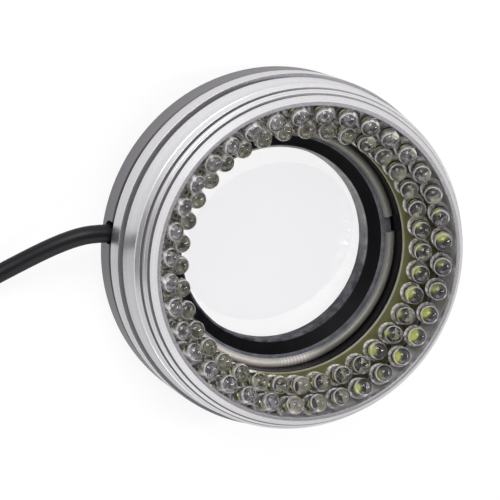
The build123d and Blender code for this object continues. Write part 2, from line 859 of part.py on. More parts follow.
# Clamp over the cord, and its screws
with BuildPart() as cord_clamp:
    with BuildSketch(Plane.YZ.offset(-clamp_back_reach)):
        with Locations((cord_exit_y, cord_exit_z)):
            Circle(cord_radius + clamp_thickness)
        with Locations((cord_exit_y, (floor_top + cord_exit_z) / 2)):
            Rectangle(2 * (cord_radius + clamp_thickness), cord_exit_z - floor_top)
        with Locations((cord_exit_y, floor_top + clamp_thickness / 2)):
            Rectangle(2 * (cord_radius + clamp_thickness + clamp_foot), clamp_thickness)
        with Locations((cord_exit_y, cord_exit_z)):
            Circle(cord_radius, mode=Mode.SUBTRACT)
        with Locations((cord_exit_y, (floor_top + cord_exit_z - overrun) / 2)):
            Rectangle(2 * cord_radius, cord_exit_z + overrun - floor_top, mode=Mode.SUBTRACT)
        with Locations((cord_exit_y, floor_top - plug_radius / 2)):
            Rectangle(2 * cover_radius, plug_radius, mode=Mode.SUBTRACT)
    extrude(amount=clamp_width)
    with BuildSketch(Plane.XY.offset(floor_top)):
        with Locations(*clamp_screw_places):
            Circle(screw_hole_radius)
    extrude(amount=clamp_thickness, mode=Mode.SUBTRACT)
cord_clamp.part.label = "cord_clamp"
export_step(cord_clamp.part, "parts/cord_clamp.step")

with BuildPart() as clamp_screws:
    with Locations(*[(x, y, floor_top + clamp_thickness) for x, y in clamp_screw_places]):
        add(pan_screw(clamp_screw_length))
clamp_screws.part.label = "clamp_screws"
export_step(clamp_screws.part, "parts/clamp_screws.step")


# Supply wires from the cord's end up to the board
def wire_route(side, pad_angle, corner_height):
    """Corner points of one supply wire."""
    start_x = cord_route[0][0]
    start_y = cord_exit_y + side * wire_spread / 2
    pad_x = wire_pad_reach * cos(radians(pad_angle))
    pad_y = wire_pad_reach * sin(radians(pad_angle))
    return (
        (start_x, start_y, cord_exit_z),
        (-wire_corner_reach, start_y, cord_exit_z),
        (pad_x, pad_y, cover_back + corner_height),
        (pad_x, pad_y, board_bottom - wire_joint_height),
    )


with BuildLine() as red_path:
    FilletPolyline(*wire_route(1, red_pad_angle, red_corner_height), radius=wire_bend_radius)
with BuildPart() as supply_wire_red:
    add(tube_along(red_path.wire(), wire_radius))
supply_wire_red.part.label = "supply_wire_red"
export_step(supply_wire_red.part, "parts/supply_wire_red.step")

with BuildLine() as black_path:
    FilletPolyline(*wire_route(-1, black_pad_angle, black_corner_height), radius=wire_bend_radius)
with BuildPart() as supply_wire_black:
    add(tube_along(black_path.wire(), wire_radius))
supply_wire_black.part.label = "supply_wire_black"
export_step(supply_wire_black.part, "parts/supply_wire_black.step")


# Cord from the clamp out of the notch and down to the coil
def report_tube(name, part, path, radii=()):
    """Print a tube's bend radii and compare its volume with section times length."""
    expected = pi * cord_radius * cord_radius * path.length
    rounded = [round(radius, 1) for radius in radii]
    print(name, "length", round(path.length, 1), "radii", rounded)
    print(name, "volume over section times length", round(part.volume / expected, 5))


with BuildLine() as lead_route:
    FilletPolyline(*cord_route, radius=corner_radii(cord_route))
with BuildPart() as cord_lead:
    add(tube_along(lead_route.wire(), cord_radius))
cord_lead.part.label = "cord_lead"
export_step(cord_lead.part, "parts/cord_lead.step")
report_tube("cord_lead", cord_lead.part, lead_route.wire(), corner_radii(cord_route))

# Coil: inwards in the lower layer, up through half a turn, outwards in the upper layer
coil_pitch = cord_diameter + coil_gap
coil_outer_radius = coil_middle_radius + turns_in * coil_pitch / 2
coil_inner_radius = coil_middle_radius - turns_in * coil_pitch / 2
spiral_rate = coil_pitch / (2 * pi)
entry = Vector(*cord_route[-1])
entry_run = entry - Vector(*cord_route[-2])
entry_heading = atan2(entry_run.Y, entry_run.X)
spiral_start = entry + Vector(cos(entry_heading), sin(entry_heading), 0) * cord_diameter
start_angle = entry_heading + pi / 2 + atan(spiral_rate / coil_outer_radius)
coil_middle = spiral_start - Vector(cos(start_angle), sin(start_angle), 0) * coil_outer_radius
lower_z = entry.Z
turn_in_end = 2 * pi * turns_in
turn_climb_end = turn_in_end + pi
turn_out_end = turn_climb_end + 2 * pi * turns_out


def coil_radius_at(turned):
    """Distance from the coil's middle, and its rate, after turning so far."""
    if turned <= turn_in_end:
        return coil_outer_radius - spiral_rate * turned, -spiral_rate
    if turned <= turn_climb_end:
        half = turned - turn_in_end
        dip = spiral_rate * half * (pi - half) / pi
        return coil_inner_radius - dip, -spiral_rate * (pi - 2 * half) / pi
    return coil_inner_radius + spiral_rate * (turned - turn_climb_end), spiral_rate


def coil_rise_at(turned):
    """Height above the lower layer, and its rate, after turning so far."""
    half = min(max(turned - turn_in_end, 0), pi)
    return coil_pitch * (1 - cos(half)) / 2, coil_pitch * sin(half) / 2


def coil_knot(turned):
    """Place and direction on the coil after turning so far."""
    radius, radius_rate = coil_radius_at(turned)
    rise, rise_rate = coil_rise_at(turned)
    angle = start_angle - turned
    outward = Vector(cos(angle), sin(angle), 0)
    onward = Vector(sin(angle), -cos(angle), 0)
    place = coil_middle + outward * radius + Vector(0, 0, rise)
    direction = outward * radius_rate + onward * radius + Vector(0, 0, rise_rate)
    return place, direction.normalized()


def biarc_joint(start, start_direction, end, end_direction):
    """Middle place and direction of the two arcs that join two knots smoothly."""
    chord = end - start
    total = start_direction + end_direction
    spread = 2 * (1 - start_direction.dot(end_direction))
    along = chord.dot(total)
    reach = (sqrt(along * along + spread * chord.dot(chord)) - along) / spread
    first = start + start_direction * reach
    second = end - end_direction * reach
    return (first + second) * 0.5, (second - first).normalized()


piece_count = round(turn_out_end / (pi / 2))
piece_turn = turn_out_end / piece_count
with BuildLine() as coil_route:
    Line(entry, spiral_start)
    for piece in range(piece_count):
        place, direction = coil_knot(piece * piece_turn)
        next_place, next_direction = coil_knot((piece + 1) * piece_turn)
        joint, joint_direction = biarc_joint(place, direction, next_place, next_direction)
        TangentArc(place, joint, tangent=direction)
        TangentArc(joint, next_place, tangent=joint_direction)
    coil_end, coil_end_direction = coil_knot(turn_out_end)
    coil_exit = coil_end + coil_end_direction * cord_diameter
    Line(coil_end, coil_exit)
with BuildPart() as cord_coil:
    add(tube_along(coil_route.wire(), cord_radius))
cord_coil.part.label = "cord_coil"
export_step(cord_coil.part, "parts/cord_coil.step")
report_tube("cord_coil", cord_coil.part, coil_route.wire())

# Least gap of the coil to itself, measured between points along its middle line
coil_length = coil_route.wire().length
sample_count = 1400
sample_step = coil_length / sample_count
samples = [coil_route.wire() @ (index / sample_count) for index in range(sample_count + 1)]
places = [(sample.X, sample.Y, sample.Z) for sample in samples]
skip = round(4 * cord_diameter / sample_step)
least = min(
    dist(places[first], places[second])
    for first in range(0, sample_count + 1, 2)
    for second in range(first + skip, sample_count + 1)
)
print("coil's least gap to itself", round(least - cord_diameter, 3))

# Ties round the coil
tie_plane_height = 0.0
with BuildPart() as coil_ties:
    for tie_angle in tie_angles:
        outward = (cos(radians(tie_angle)), sin(radians(tie_angle)))
        reaches = []
        for place in places:
            offset_x = place[0] - coil_middle.X
            offset_y = place[1] - coil_middle.Y
            along = offset_x * outward[0] + offset_y * outward[1]
            across = offset_y * outward[0] - offset_x * outward[1]
            if along > 0 and abs(across) < tie_width:
                reaches.append(along)
        tie_inner = min(reaches) - cord_radius - tie_gap
        tie_outer = max(reaches) + cord_radius + tie_gap
        tie_bottom = lower_z - cord_radius - tie_lift
        tie_top = lower_z + coil_pitch + cord_radius + tie_lift
        tie_plane = Plane(
            origin=(coil_middle.X, coil_middle.Y, 0),
            x_dir=(outward[0], outward[1], 0),
            z_dir=(outward[1], -outward[0], 0),
        )
        hole_width = tie_outer - tie_inner
        hole_height = tie_top - tie_bottom
        with BuildSketch(tie_plane):
            with Locations(((tie_inner + tie_outer) / 2, (tie_bottom + tie_top) / 2)):
                RectangleRounded(
                    hole_width + 2 * tie_thickness,
                    hole_height + 2 * tie_thickness,
                    tie_corner_radius + tie_thickness,
                )
                RectangleRounded(hole_width, hole_height, tie_corner_radius, mode=Mode.SUBTRACT)
        extrude(amount=tie_width / 2, both=True)
        with BuildSketch(tie_plane):
            with Locations(
                (
                    tie_outer + tie_thickness + tie_head_depth / 2 - slip_gap,
                    tie_bottom + hole_height / 2,
                )
            ):
                RectangleRounded(tie_head_depth, tie_head_height, tie_thickness)
        extrude(amount=tie_head_length / 2, both=True)
coil_ties.part.label = "coil_ties"
export_step(coil_ties.part, "parts/coil_ties.step")

# Tail from the coil down to the plug
heading = atan2(coil_end_direction.Y, coil_end_direction.X)
tail_points = [(coil_exit.X, coil_exit.Y, coil_exit.Z)]
for run_length, turn, drop in tail_runs:
    heading += radians(turn)
    level_run = sqrt(run_length * run_length - drop * drop)
    last = tail_points[-1]
    tail_points.append(
        (last[0] + level_run * cos(heading), last[1] + level_run * sin(heading), last[2] + drop)
    )
with BuildLine() as tail_route:
    FilletPolyline(*tail_points, radius=corner_radii(tail_points))
with BuildPart() as cord_tail:
    add(tube_along(tail_route.wire(), cord_radius))
cord_tail.part.label = "cord_tail"
export_step(cord_tail.part, "parts/cord_tail.step")
report_tube("cord_tail", cord_tail.part, tail_route.wire(), corner_radii(tail_points))

# Plug: ribbed relief and grip, and the barrel with its insulator and its inner contact
plug_start = Vector(*tail_points[-1])
plug_heading = Vector(cos(heading), sin(heading), 0)
plug_plane = Plane(origin=plug_start, x_dir=plug_heading, z_dir=plug_heading.cross(Vector(0, 0, 1)))
plug_body_length = plug_relief_length + plug_grip_length + plug_nose_length
barrel_start = plug_body_length - barrel_root
barrel_end = plug_body_length + barrel_length
plug_axis = Axis(origin=plug_start, direction=plug_heading)
with BuildPart() as plug_body:
    with BuildSketch(plug_plane):
        with BuildLine():
            Polyline(
                (0, 0),
                (0, plug_relief_radius),
                (plug_relief_length, plug_radius - plug_rib_depth),
                (plug_relief_length, plug_radius),
                (plug_relief_length + plug_grip_length, plug_radius),
                (plug_relief_length + plug_grip_length, plug_nose_radius),
                (plug_body_length, plug_nose_radius),
                (plug_body_length, barrel_root_radius),
                (barrel_start, barrel_root_radius),
                (barrel_start, 0),
                close=True,
            )
        make_face()
    revolve(axis=plug_axis)
    relief_step = plug_relief_length / (plug_rib_count + 1)
    for rib_index in range(plug_rib_count):
        rib_start = (rib_index + 1) * relief_step - plug_rib_width / 2
        rib_reach = plug_relief_radius + (plug_radius - plug_relief_radius) * rib_start / plug_relief_length
        with BuildSketch(Plane(origin=plug_start + plug_heading * rib_start, z_dir=plug_heading)):
            Circle(plug_radius + overrun)
            Circle(rib_reach - plug_rib_depth - plug_rib_depth / 2, mode=Mode.SUBTRACT)
        extrude(amount=plug_rib_width, mode=Mode.SUBTRACT)
plug_body.part.label = "plug_body"
export_step(plug_body.part, "parts/plug_body.step")

barrel_plane = Plane(origin=plug_start + plug_heading * barrel_start, z_dir=plug_heading)
barrel_full_length = barrel_root + barrel_length
with BuildPart() as plug_barrel:
    with BuildSketch(barrel_plane):
        Circle(barrel_root_radius)
    extrude(amount=barrel_root)
    with BuildSketch(barrel_plane.offset(barrel_root)):
        Circle(barrel_radius)
    extrude(amount=barrel_length)
    with BuildSketch(barrel_plane):
        Circle(barrel_root_radius - barrel_root_wall)
    extrude(amount=barrel_full_length, mode=Mode.SUBTRACT)
    with BuildSketch(barrel_plane.offset(barrel_root + barrel_web)):
        Circle(barrel_radius - barrel_wall)
    extrude(amount=barrel_length, mode=Mode.SUBTRACT)
plug_barrel.part.label = "plug_barrel"
export_step(plug_barrel.part, "parts/plug_barrel.step")

with BuildPart() as plug_insulator:
    with BuildSketch(barrel_plane):
        Circle(barrel_root_radius - barrel_root_wall)
    extrude(amount=barrel_root + barrel_web)
    with BuildSketch(barrel_plane.offset(barrel_root + barrel_web)):
        Circle(barrel_radius - barrel_wall)
    extrude(amount=barrel_length - barrel_web - contact_recess)
    with BuildSketch(barrel_plane):
        Circle(contact_outer_radius)
    extrude(amount=barrel_full_length, mode=Mode.SUBTRACT)
plug_insulator.part.label = "plug_insulator"
export_step(plug_insulator.part, "parts/plug_insulator.step")

with BuildPart() as plug_contact:
    with BuildSketch(barrel_plane):
        Circle(contact_outer_radius)
        Circle(contact_inner_radius, mode=Mode.SUBTRACT)
    extrude(amount=barrel_full_length - 2 * contact_recess)
plug_contact.part.label = "plug_contact"
export_step(plug_contact.part, "parts/plug_contact.step")

whole_cord = lead_route.wire().length + coil_length + tail_route.wire().length
print("cord from the clamp to the plug", round(whole_cord, 1))
print("coil's middle", round(coil_middle.X, 2), round(coil_middle.Y, 2), "lower layer", lower_z)
print("tail", [[round(value, 2) for value in point] for point in tail_points])
print("plug heading", round(degrees(heading), 2), "barrel ends", barrel_start, barrel_end)
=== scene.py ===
"""Looks of the microscope LED ring light, lying on its rear collar with the lamps facing up."""
from math import asin, cos, degrees, pi, radians, sin
from random import Random

import bpy
from mathutils import Matrix, Vector


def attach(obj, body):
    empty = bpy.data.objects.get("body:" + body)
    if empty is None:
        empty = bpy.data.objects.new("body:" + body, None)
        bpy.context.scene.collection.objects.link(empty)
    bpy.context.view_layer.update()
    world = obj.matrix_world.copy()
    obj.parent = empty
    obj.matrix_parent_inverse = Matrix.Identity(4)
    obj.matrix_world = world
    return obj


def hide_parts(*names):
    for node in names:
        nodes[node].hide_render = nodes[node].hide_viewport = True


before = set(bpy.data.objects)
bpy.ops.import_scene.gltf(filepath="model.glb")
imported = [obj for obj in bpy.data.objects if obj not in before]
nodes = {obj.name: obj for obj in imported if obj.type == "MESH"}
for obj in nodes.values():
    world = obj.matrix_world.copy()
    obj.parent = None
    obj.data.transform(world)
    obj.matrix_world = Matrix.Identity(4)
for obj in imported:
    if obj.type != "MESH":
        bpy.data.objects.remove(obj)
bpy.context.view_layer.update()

MM = 0.001

# Sizes of the light, in millimetres and degrees, the same as in the CAD
CORD_DIAMETER = 4.9
LENS_RADIUS = 2.5
LENS_BODY = 6.2
FLANGE_RADIUS = 2.9
FLANGE_HEIGHT = 1.0
LAMPS_IN_ROW = 36
# Row: reach and height of the domes' middles, lean inwards, direction of the first lamp
INNER_ROW = (34.4, 33.4, 14.0, 7.17)
OUTER_ROW = (38.5, 37.6, 20.0, 2.14)
WIRE_RADIUS = 1.3
WIRE_REACH = 32.15
WIRE_HEIGHT = 16.25
WIRE_GAP = 4.4
WIRE_GAP_DIRECTION = 7.9


# ---------------------------------------------------------------- camera

CAMERA_PLACE = Vector((-0.23959, 0.09276, 0.61025))
CAMERA_RIGHT = Vector((0.93075, 0.1315, 0.3412))
CAMERA_BACK = Vector((-0.35864, 0.14629, 0.92194))


def photo_camera():
    """Camera at the photograph's viewing angle."""
    data = bpy.data.cameras.new("photo_camera")
    data.lens = 172.8
    data.sensor_width = 36.0
    data.clip_start = 0.01
    data.clip_end = 20.0
    camera = bpy.data.objects.new("photo_camera", data)
    bpy.context.scene.collection.objects.link(camera)
    back = CAMERA_BACK.normalized()
    up = back.cross(CAMERA_RIGHT.normalized()).normalized()
    right = up.cross(back)
    turn = Matrix((right, up, back)).transposed()
    camera.matrix_world = Matrix.Translation(CAMERA_PLACE) @ turn.to_4x4()
    bpy.context.scene.camera = camera


photo_camera()


# ---------------------------------------------------------------- the way to shade

def linear(red, green, blue):
    """Colour in scene values from the 0 to 255 values it should show."""
    def channel(value):
        value /= 255.0
        return value / 12.92 if value <= 0.04045 else ((value + 0.055) / 1.055) ** 2.4
    return (channel(red), channel(green), channel(blue), 1.0)


def feed(tree, socket, value):
    """Give a socket a wire or a value; three numbers are a colour by its 0 to 255 values."""
    if isinstance(value, Wire):
        tree.links.new(value.socket, socket)
    elif isinstance(value, tuple) and len(value) == 3:
        socket.default_value = linear(*value)
    else:
        socket.default_value = value


def add_node(tree, kind, settings, inputs, output=0):
    """A node of any type: its settings first, then the values or wires of its sockets."""
    node = tree.nodes.new(kind)
    for name, value in settings.items():
        setattr(node, name, value)
    for name, value in inputs.items():
        feed(tree, node.inputs[name], value)
    return Wire(tree, node.outputs[output]) if node.outputs else None


class Wire:
    """An output socket of a material: sums on wires add Math nodes."""

    def __init__(self, tree, socket):
        self.tree, self.socket = tree, socket

    def math(self, operation, *values, clamp=False):
        return add_node(self.tree, "ShaderNodeMath", {"operation": operation, "use_clamp": clamp},
                        dict(enumerate(values)))

    def __add__(self, other): return self.math("ADD", self, other)
    def __radd__(self, other): return self.math("ADD", other, self)
    def __sub__(self, other): return self.math("SUBTRACT", self, other)
    def __rsub__(self, other): return self.math("SUBTRACT", other, self)
    def __mul__(self, other): return self.math("MULTIPLY", self, other)
    def __rmul__(self, other): return self.math("MULTIPLY", other, self)
    def __truediv__(self, other): return self.math("DIVIDE", self, other)
    def __rtruediv__(self, other): return self.math("DIVIDE", other, self)

    def clamp(self): return self.math("ADD", self, 0.0, clamp=True)
    def sine(self): return self.math("SINE", self)
    def cosine(self): return self.math("COSINE", self)
    def root(self): return self.math("SQRT", self)
    def most(self, other): return self.math("MAXIMUM", self, other)
    def wrap(self, low, high): return self.math("WRAP", self, high, low)

    def rise(self, low, high):
        """0 below low, 1 above high and smooth between them."""
        return add_node(self.tree, "ShaderNodeMapRange", {"interpolation_type": "SMOOTHSTEP"},
                        {"Value": self, "From Min": low, "From Max": high})

    def fall(self, low, high):
        """1 below low, 0 above high and smooth between them."""
        return 1.0 - self.rise(low, high)

    def between(self, low, high, soft):
        """1 from low to high and 0 outside them, with soft edges."""
        return self.rise(low, low + soft) * self.fall(high - soft, high)


class Finish:
    """One material of the light, its shader and the places, in millimetres, that its patterns use."""

    def __init__(self, name, colour, **sockets):
        self.material = bpy.data.materials.new(name)
        self.material.use_nodes = True
        self.tree = self.material.node_tree
        self.shader = self.tree.nodes["Principled BSDF"]
        self.set("Base Color", colour)
        for socket, value in sockets.items():
            self.set(socket.replace("_", " "), value)
        metres = self.node("ShaderNodeTexCoord", {}, {}, "Object")
        self.place = self.node("ShaderNodeVectorMath", {"operation": "SCALE"},
                               {0: metres, "Scale": 1 / MM})
        self.x, self.y, self.z = (
            self.node("ShaderNodeSeparateXYZ", {}, {0: self.place}, axis) for axis in range(3))
        # How far a place is from the light's axis
        self.reach = (self.x * self.x + self.y * self.y).root()

    def node(self, kind, settings, inputs, output=0):
        return add_node(self.tree, kind, settings, inputs, output)

    def set(self, socket, value):
        feed(self.tree, self.shader.inputs[socket], value)

    def mix(self, amount, first, second):
        """Colour between two colours."""
        return self.node("ShaderNodeMix", {"data_type": "RGBA"}, {0: amount, 6: first, 7: second}, 2)

    def noise(self, scale, detail=2.0, roughness=0.5, vector=None):
        """Soft noise from 0 to 1, scale being its features in one millimetre."""
        return self.node("ShaderNodeTexNoise", {}, {
            "Vector": vector or self.place, "Scale": scale, "Detail": detail, "Roughness": roughness})

    def point(self, x, y, z):
        return self.node("ShaderNodeCombineXYZ", {}, {0: x, 1: y, 2: z})

    def bump(self, height, depth):
        """Relief: height from 0 to 1 stands for depth in millimetres."""
        self.set("Normal", self.node("ShaderNodeBump", {}, {
            "Height": height, "Strength": 1.0, "Distance": depth * MM}))

    def turning_marks(self, per_mm):
        """Circular tool marks around the light's axis, from 0 to 1."""
        across = self.point(self.reach, self.z, 0.0)
        fine = self.noise(per_mm, 1.0, 0.5, across)
        coarse = self.noise(per_mm * 0.22, 1.0, 0.5, across)
        return fine * 0.65 + coarse * 0.35

    def handling(self):
        """Large patches where handling has changed the gloss, from 0 to 1."""
        return self.noise(0.072, 3.0, 0.6)

    def direction(self):
        """Direction around the light's axis, in degrees."""
        return self.y.math("ARCTAN2", self.y, self.x) * degrees(1)

    def lamp_place(self, row):
        """Place in a row's nearest lamp: outwards, sideways, up from its foot, and off its axis."""
        reach, height, lean, first = row
        lean_sine, lean_cosine = sin(radians(lean)), cos(radians(lean))
        half_pitch = 180.0 / LAMPS_IN_ROW
        turned = (self.direction() - first).wrap(-half_pitch, half_pitch) * radians(1)
        sideways = self.reach * turned.sine()
        outwards = self.reach * turned.cosine() - reach
        upwards = self.z - height
        across = outwards * lean_cosine + upwards * lean_sine
        along = upwards * lean_cosine - outwards * lean_sine + LENS_BODY
        return across, sideways, along, (across * across + sideways * sideways).root()


# ---------------------------------------------------------------- metal and glass

# Cuts round the housing, dulled and darkened with painted shade: lowest and highest place, width of the
# soft edge, and how strong the dulling and painted shade are
SHADED_DULL_CUTS = (
    (23.385, 24.98, 0.01, 1.0), (34.485, 35.53, 0.01, 1.0), (37.185, 38.08, 0.01, 1.0),
    (32.52, 32.78, 0.08, 0.8), (36.26, 36.44, 0.05, 0.8),
)


def turned_silver():
    """Clear-anodised aluminium, turned on a lathe: pale bands, grooves dulled and darkened with painted
    shade, a wall behind the lamps lightened with painted light, and a grainy front.
    """
    f = Finish("housing_aluminium", (228, 227, 230), Metallic=1.0, Roughness=0.3)
    marks = f.turning_marks(5.0)
    grain = f.noise(1.9, 3.0, 0.75)
    relief = marks * 0.5 + grain * 0.5
    # Grooves are cut from the outside only, and the front's inner edge is as dull as the front
    outside = f.reach.rise(43.1, 43.2)
    # Painted shade: the grooves' colour is darkened as well as their gloss dulled
    shaded_dull_cuts = sum(f.z.between(low, high, soft) * dull for low, high, soft, dull in SHADED_DULL_CUTS)
    groove = shaded_dull_cuts.clamp() * outside
    front_edge = f.z.rise(39.6, 39.7) * f.reach.fall(42.3, 42.4)
    front = f.z.rise(39.94, 39.949).most(front_edge)
    # The wall behind the lamps, painted pale as painted light where it lies in shade, which ends under
    # the front and short of the last groove
    hollow = f.reach.fall(43.95, 44.0) * f.z.fall(38.2, 38.4) * (1.0 - groove)
    hollow = hollow * (1.0 - outside * f.z.rise(36.9, 37.0))
    colour = f.mix(relief, (176, 175, 179), (255, 254, 255))
    # Painted shade in the grooves
    colour = f.mix(groove, colour, f.mix(grain, (136, 132, 137), (176, 173, 178)))
    colour = f.mix(front, colour, f.mix(grain, (104, 102, 106), (196, 194, 198)))
    # Painted light on the shaded wall behind the lamps
    colour = f.mix(hollow, colour, f.mix(grain, (226, 224, 228), (244, 243, 246)))
    f.set("Base Color", colour)
    f.set("Metallic", 1.0 - hollow * 0.85)
    f.set("Roughness", 0.27 + marks * 0.08 + f.handling() * 0.06 + groove * 0.15 + front * 0.15)
    f.bump(relief, 0.03)
    return f.material


def anodised_grey():
    """Grey-anodised back cover, finely turned, with a painted shadow along its rim under the housing,
    weaker towards +y.
    """
    f = Finish("cover_anodised", (128, 126, 131), Metallic=0.8, Roughness=0.42)
    marks = f.turning_marks(4.0)
    grain = f.noise(4.0, 2.0, 0.7)
    wall = f.mix(marks * 0.5 + grain * 0.5, (108, 105, 110), (138, 134, 140))
    # Painted shadow in the joint under the housing, weaker towards +y
    rim = f.z.rise(15.6, 15.75) * f.reach.rise(46.0, 46.4)
    painted_seam_shadow = rim * (1.0 - f.y.rise(15.0, 44.0) * 0.85)
    f.set("Base Color", f.mix(painted_seam_shadow, wall, (4, 4, 5)))
    f.set("Roughness", 0.36 + marks * 0.14)
    f.bump(marks, 0.01)
    return f.material


def anodised_black():
    """Black-anodised ring that holds the glass."""
    f = Finish("black_anodised", (22, 22, 26), Metallic=0.3, Roughness=0.3)
    marks = f.turning_marks(4.0)
    f.set("Base Color", f.mix(f.handling(), (17, 17, 21), (28, 28, 32)))
    f.set("Roughness", 0.25 + marks * 0.12)
    f.bump(marks, 0.008)
    return f.material


def adapter_black():
    """Black-anodised adapter; the wall round its glass and its flat top have gone grey, and the wall
    carries painted light and shade, paler towards +y.
    """
    f = Finish("adapter_black", (10, 10, 14), Metallic=0.0, Roughness=0.5, Specular_IOR_Level=0.1)
    marks = f.turning_marks(4.0)
    smudge = f.noise(0.3, 3.0, 0.6).rise(0.35, 0.7)
    # The top is flat at 14.9 mm, and the wall round the glass stands at a radius of 27 mm or less
    flat_top = f.z.rise(14.84, 14.88)
    glass_wall = f.reach.fall(26.95, 27.3) * f.z.rise(6.5, 6.6)
    # Painted shade and painted light on the wall round the glass: darker towards -y, paler towards +y
    shaded_wall_grey = f.mix(smudge, (56, 55, 61), (108, 107, 114))
    lit_wall_grey = f.mix(smudge, (150, 148, 151), (186, 184, 186))
    colour = f.mix(smudge, (4, 4, 7), (12, 12, 16))
    colour = f.mix(flat_top, colour, f.mix(smudge, (92, 94, 100), (122, 124, 130)))
    colour = f.mix(glass_wall, colour, f.mix(f.y.rise(-10.0, 16.0), shaded_wall_grey, lit_wall_grey))
    f.set("Base Color", colour)
    f.set("Roughness", 0.44 + marks * 0.1 + smudge * 0.08)
    f.bump(marks, 0.008)
    return f.material


def gloss_sleeve():
    """Gloss black sleeve of the bore."""
    f = Finish("sleeve_black", (10, 10, 13), Roughness=0.2, Specular_IOR_Level=0.14)
    marks = f.turning_marks(4.0)
    f.set("Base Color", f.mix(f.handling(), (4, 4, 7), (14, 14, 17)))
    f.set("Roughness", 0.15 + marks * 0.12)
    f.bump(marks, 0.008)
    return f.material


def clear_window():
    """Clear glass, faintly tinted but for its underside and for two crescents at its edge, which are a
    painted reflection.
    """
    f = Finish("window_glass", (255, 255, 255), Roughness=0.0, IOR=1.46, Transmission_Weight=1.0)
    smear = f.noise(0.08, 4.0, 0.6)
    # Painted reflection: two white crescents between the glass's edge and a turned oval
    half_narrow, half_wide, turn = 20.9, 25.4, radians(122.0)
    along = f.x * cos(turn) + f.y * sin(turn)
    across = f.y * cos(turn) - f.x * sin(turn)
    oval = (along * along / half_narrow ** 2 + across * across / half_wide ** 2).root()
    clear = oval.rise(0.985, 1.015).most(f.z.fall(7.0, 7.2))
    tint = f.mix(smear, (240, 240, 244), (242, 242, 246))
    f.set("Base Color", f.mix(clear, tint, (255, 255, 255)))
    f.set("Roughness", smear * 0.03)
    return f.material


def screw_steel():
    """Zinc-plated steel of the screws."""
    f = Finish("screw_steel", (150, 148, 146), Metallic=1.0, Roughness=0.3)
    grain = f.noise(6.0, 2.0)
    f.set("Base Color", f.mix(grain, (132, 130, 129), (166, 164, 161)))
    f.set("Roughness", 0.24 + grain * 0.16)
    f.bump(grain, 0.01)
    return f.material


def ring_steel():
    """Drawn steel wire with painted light on its lower side, and a short stretch of painted glints
    there.
    """
    f = Finish("ring_steel", (176, 174, 172), Metallic=0.35, Roughness=0.42)
    streak = f.noise(3.0, 2.0, 0.5, f.point(f.reach, f.z, f.noise(0.3) * 2.0))
    direction = f.direction()
    # Painted glints, one in every 1.75 degrees
    painted_glints = (direction * 3.6).sine() * 0.5 + 0.5
    painted_glints = painted_glints * direction.between(-84.0, -66.0, 4.0) * 0.6
    # Painted light: the wire's lower side is lighter than the rest
    painted_light_side = direction.between(-158.0, -56.0, 16.0)
    dull = f.mix(streak, (98, 97, 92), (160, 157, 150))
    bright = f.mix(streak, (166, 158, 154), (226, 219, 214))
    f.set("Base Color", f.mix(painted_glints, f.mix(painted_light_side, dull, bright), (236, 232, 226)))
    f.set("Roughness", 0.42 + streak * 0.16)
    f.bump(streak, 0.01)
    return f.material


def plated(name, dark, light, gloss=0.25, depth=0.01):
    """Plated, turned or cast metal with a slight grain."""
    f = Finish(name, light, Metallic=1.0, Roughness=gloss)
    grain = f.noise(3.0, 3.0)
    f.set("Base Color", f.mix(grain, dark, light))
    f.set("Roughness", gloss + grain * 0.15)
    f.bump(grain, depth)
    return f.material


# ---------------------------------------------------------------- lamps and board

def lamp_epoxy(name, row, foot_painted_shade, foot_painted_light):
    """Water-clear epoxy of a row's lamps: matt flange, a painted sheen on the outer side, painted
    highlights round the dome, and a haze under the foot blotched with painted shade and light.
    """
    f = Finish(name, (240, 239, 243), Roughness=0.0, IOR=1.53, Transmission_Weight=0.985)
    across, sideways, along, off_axis = f.lamp_place(row)
    cloud = f.noise(0.6, 3.0)
    streak = f.noise(0.8, 1.0, 0.5, f.point(across, sideways, along * 0.3))
    f.set("Base Color", f.mix(cloud, (250, 249, 250), (255, 255, 255)))
    f.set("Roughness", cloud * 0.02)

    # How hazy each place is: the dome starts 6.2 mm above the foot, 2.5 mm round the axis
    foot = along.fall(0.15, 0.35)
    # Painted sheen: white haze on each lamp's outer side
    side = across.rise(0.8, 2.4) * streak.rise(0.47, 0.6) * off_axis.rise(1.6, 2.0) * 0.6
    flange = along.fall(1.0, 1.3) * off_axis.rise(2.44, 2.52)
    flange = flange * (0.3 + streak.rise(0.35, 0.65) * 0.45)
    # Painted highlights: a pale line and a pale rim round the dome
    dome_highlight_line = off_axis.between(2.1, 2.42, 0.1) * along.rise(6.3, 6.6) * 0.6
    dome_highlight_rim = off_axis.rise(2.1, 2.45) * along.rise(6.2, 6.6) * 0.25
    haze = side.most(flange).most(dome_highlight_line).most(dome_highlight_rim).most(foot * 0.85)

    # Painted shade and light under the foot: dark and pale blotches stand in for the shaded board seen
    # through the lamp
    blot = f.noise(1.5, 2.0, 0.6).rise(0.4, 0.6)
    milky = f.mix(streak.rise(0.3, 0.7), (200, 195, 196), (254, 252, 254))
    painted_haze_colour = f.mix(foot, milky, f.mix(blot, foot_painted_shade, foot_painted_light))
    hazy = f.node("ShaderNodeBsdfPrincipled", {}, {"Base Color": painted_haze_colour, "Roughness": 0.3})
    clear = Wire(f.tree, f.shader.outputs[0])
    both = f.node("ShaderNodeMixShader", {}, {0: haze, 1: clear, 2: hazy})
    feed(f.tree, f.tree.nodes["Material Output"].inputs["Surface"], both)
    return f.material


